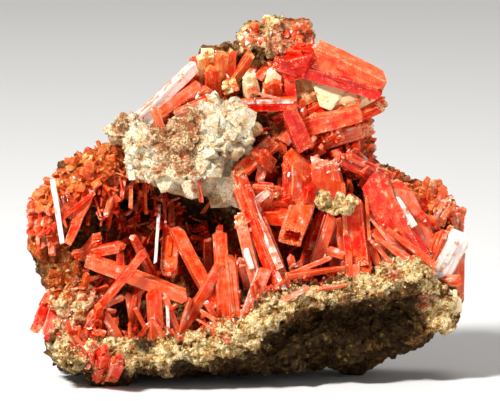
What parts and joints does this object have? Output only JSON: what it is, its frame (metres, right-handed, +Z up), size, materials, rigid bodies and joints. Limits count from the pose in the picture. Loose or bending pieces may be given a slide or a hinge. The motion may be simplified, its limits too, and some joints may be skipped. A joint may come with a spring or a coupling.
{
  "type": "crocoite mineral specimen",
  "caption": "Crocoite specimen: long orange-red prisms crossing at all angles in a hollow of rough brown gossan, below a knobbly cream block, on a slab with an overhanging front.",
  "frame": {"origin": "on the table under the middle of the whole specimen", "axes": "+X to the viewer's right along the width, +Y away from the viewer, +Z up"},
  "size_m": [0.0878, 0.0418, 0.0745],
  "materials": {
    "gossan": "matt, rough and earthy",
    "cream_crust": "matt, granular",
    "crocoite": "bright glassy faces, translucent",
    "pale_crystal": "satin"
  },
  "bodies": {
    "root": {"back_stub": "crocoite", "block_prism_1": "crocoite", "broad_prism": "crocoite", "column_left_group": "crocoite", "cream_block": "cream_crust", "cream_ledge": "pale_crystal", "crossing_lath_group": "crocoite", "crown_tooth_1": "crocoite", "crown_tooth_2": "crocoite", "crown_tooth_3": "crocoite", "end_on_prism_group": "crocoite", "flank_stub": "crocoite", "flank_upright_group": "crocoite", "foot_lath_group": "crocoite", "foot_prism_group": "crocoite", "front_prism_1_group": "crocoite", "front_prism_3_group": "crocoite", "glint_sliver": "crocoite", "glinting_cluster": "crocoite", "great_prism_group": "crocoite", "left_lance_group": "crocoite", "left_slat_group": "crocoite", "matrix": "gossan", "orange_stalk": "crocoite", "pale_blade": "crocoite", "pale_cleavage": "pale_crystal", "pale_lath": "crocoite", "pale_tooth": "pale_crystal", "pale_wedge_group": "pale_crystal", "rim_sliver_1": "crocoite", "rim_sliver_2": "crocoite", "roof_needle_1_group": "crocoite", "roof_needle_3": "crocoite", "shaded_bar_2_group": "crocoite", "shaded_post": "crocoite", "silver_prism_group": "crocoite", "slot_needle_1_group": "crocoite", "standing_prism_group": "crocoite", "tan_crystal": "pale_crystal", "tan_tablet_group": "pale_crystal", "throat_prism_group": "crocoite", "upper_lath_group": "crocoite", "white_edge_prism_group": "crocoite", "white_needle": "crocoite"}
  },
  "joints": []
}
